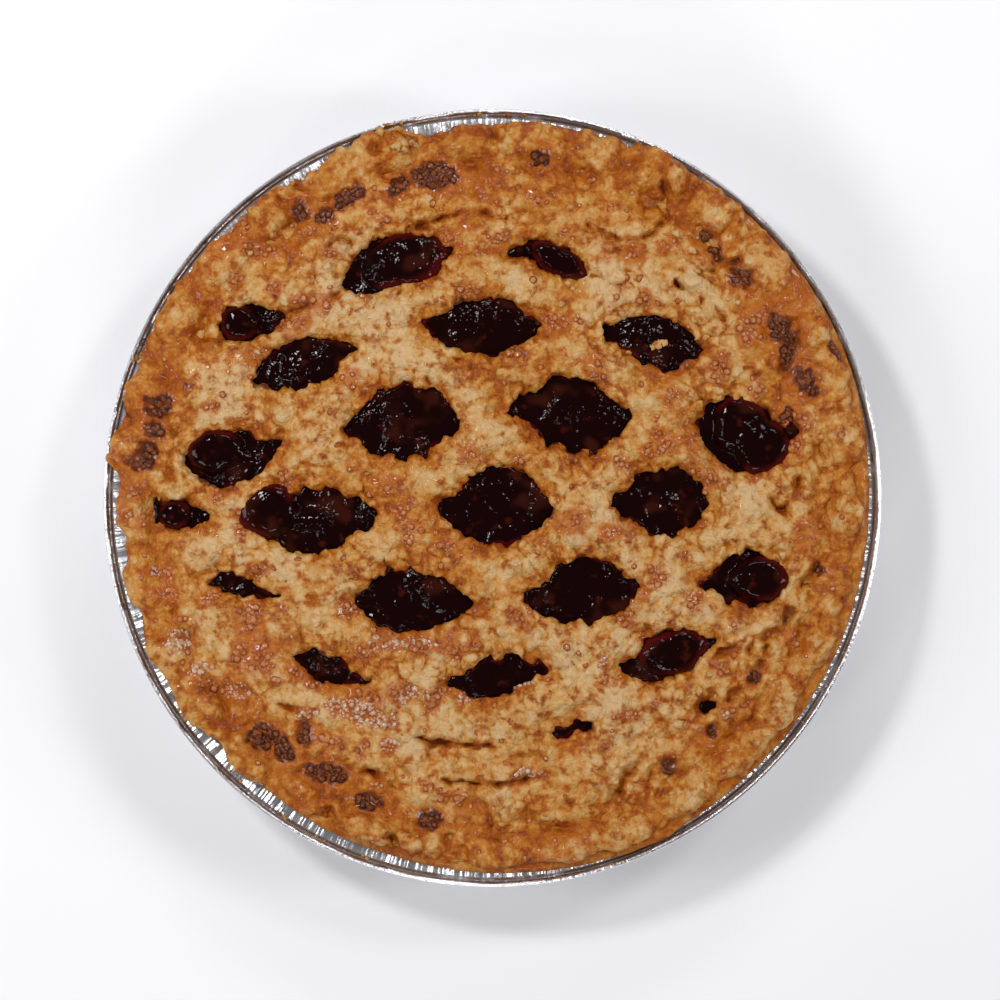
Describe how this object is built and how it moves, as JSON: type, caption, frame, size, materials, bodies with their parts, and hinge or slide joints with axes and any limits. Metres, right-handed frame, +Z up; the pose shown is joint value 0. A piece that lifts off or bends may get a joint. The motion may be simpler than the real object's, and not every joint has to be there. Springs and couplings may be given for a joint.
{
  "type": "cherry pie",
  "caption": "Round baked cherry pie in a foil tin: a crimped top crust with scalloped diamond windows that show the glossy dark filling.",
  "frame": {"origin": "middle of the tin's flat underside", "axes": "+Z up, out of the pie's top; the windows' long diagonals run along X"},
  "size_m": [0.228, 0.2276, 0.0371],
  "materials": {
    "foil": "pleated bright foil",
    "bottom_pastry": "baked pastry, smooth and browned",
    "cherry_filling": "set cherry filling, wet and glossy",
    "top_pastry": "baked pastry, lumpy, with melted sugar"
  },
  "bodies": {
    "root": {"foil_tin": "foil", "bottom_crust": "bottom_pastry", "filling": "cherry_filling", "top_crust": "top_pastry"}
  },
  "joints": []
}
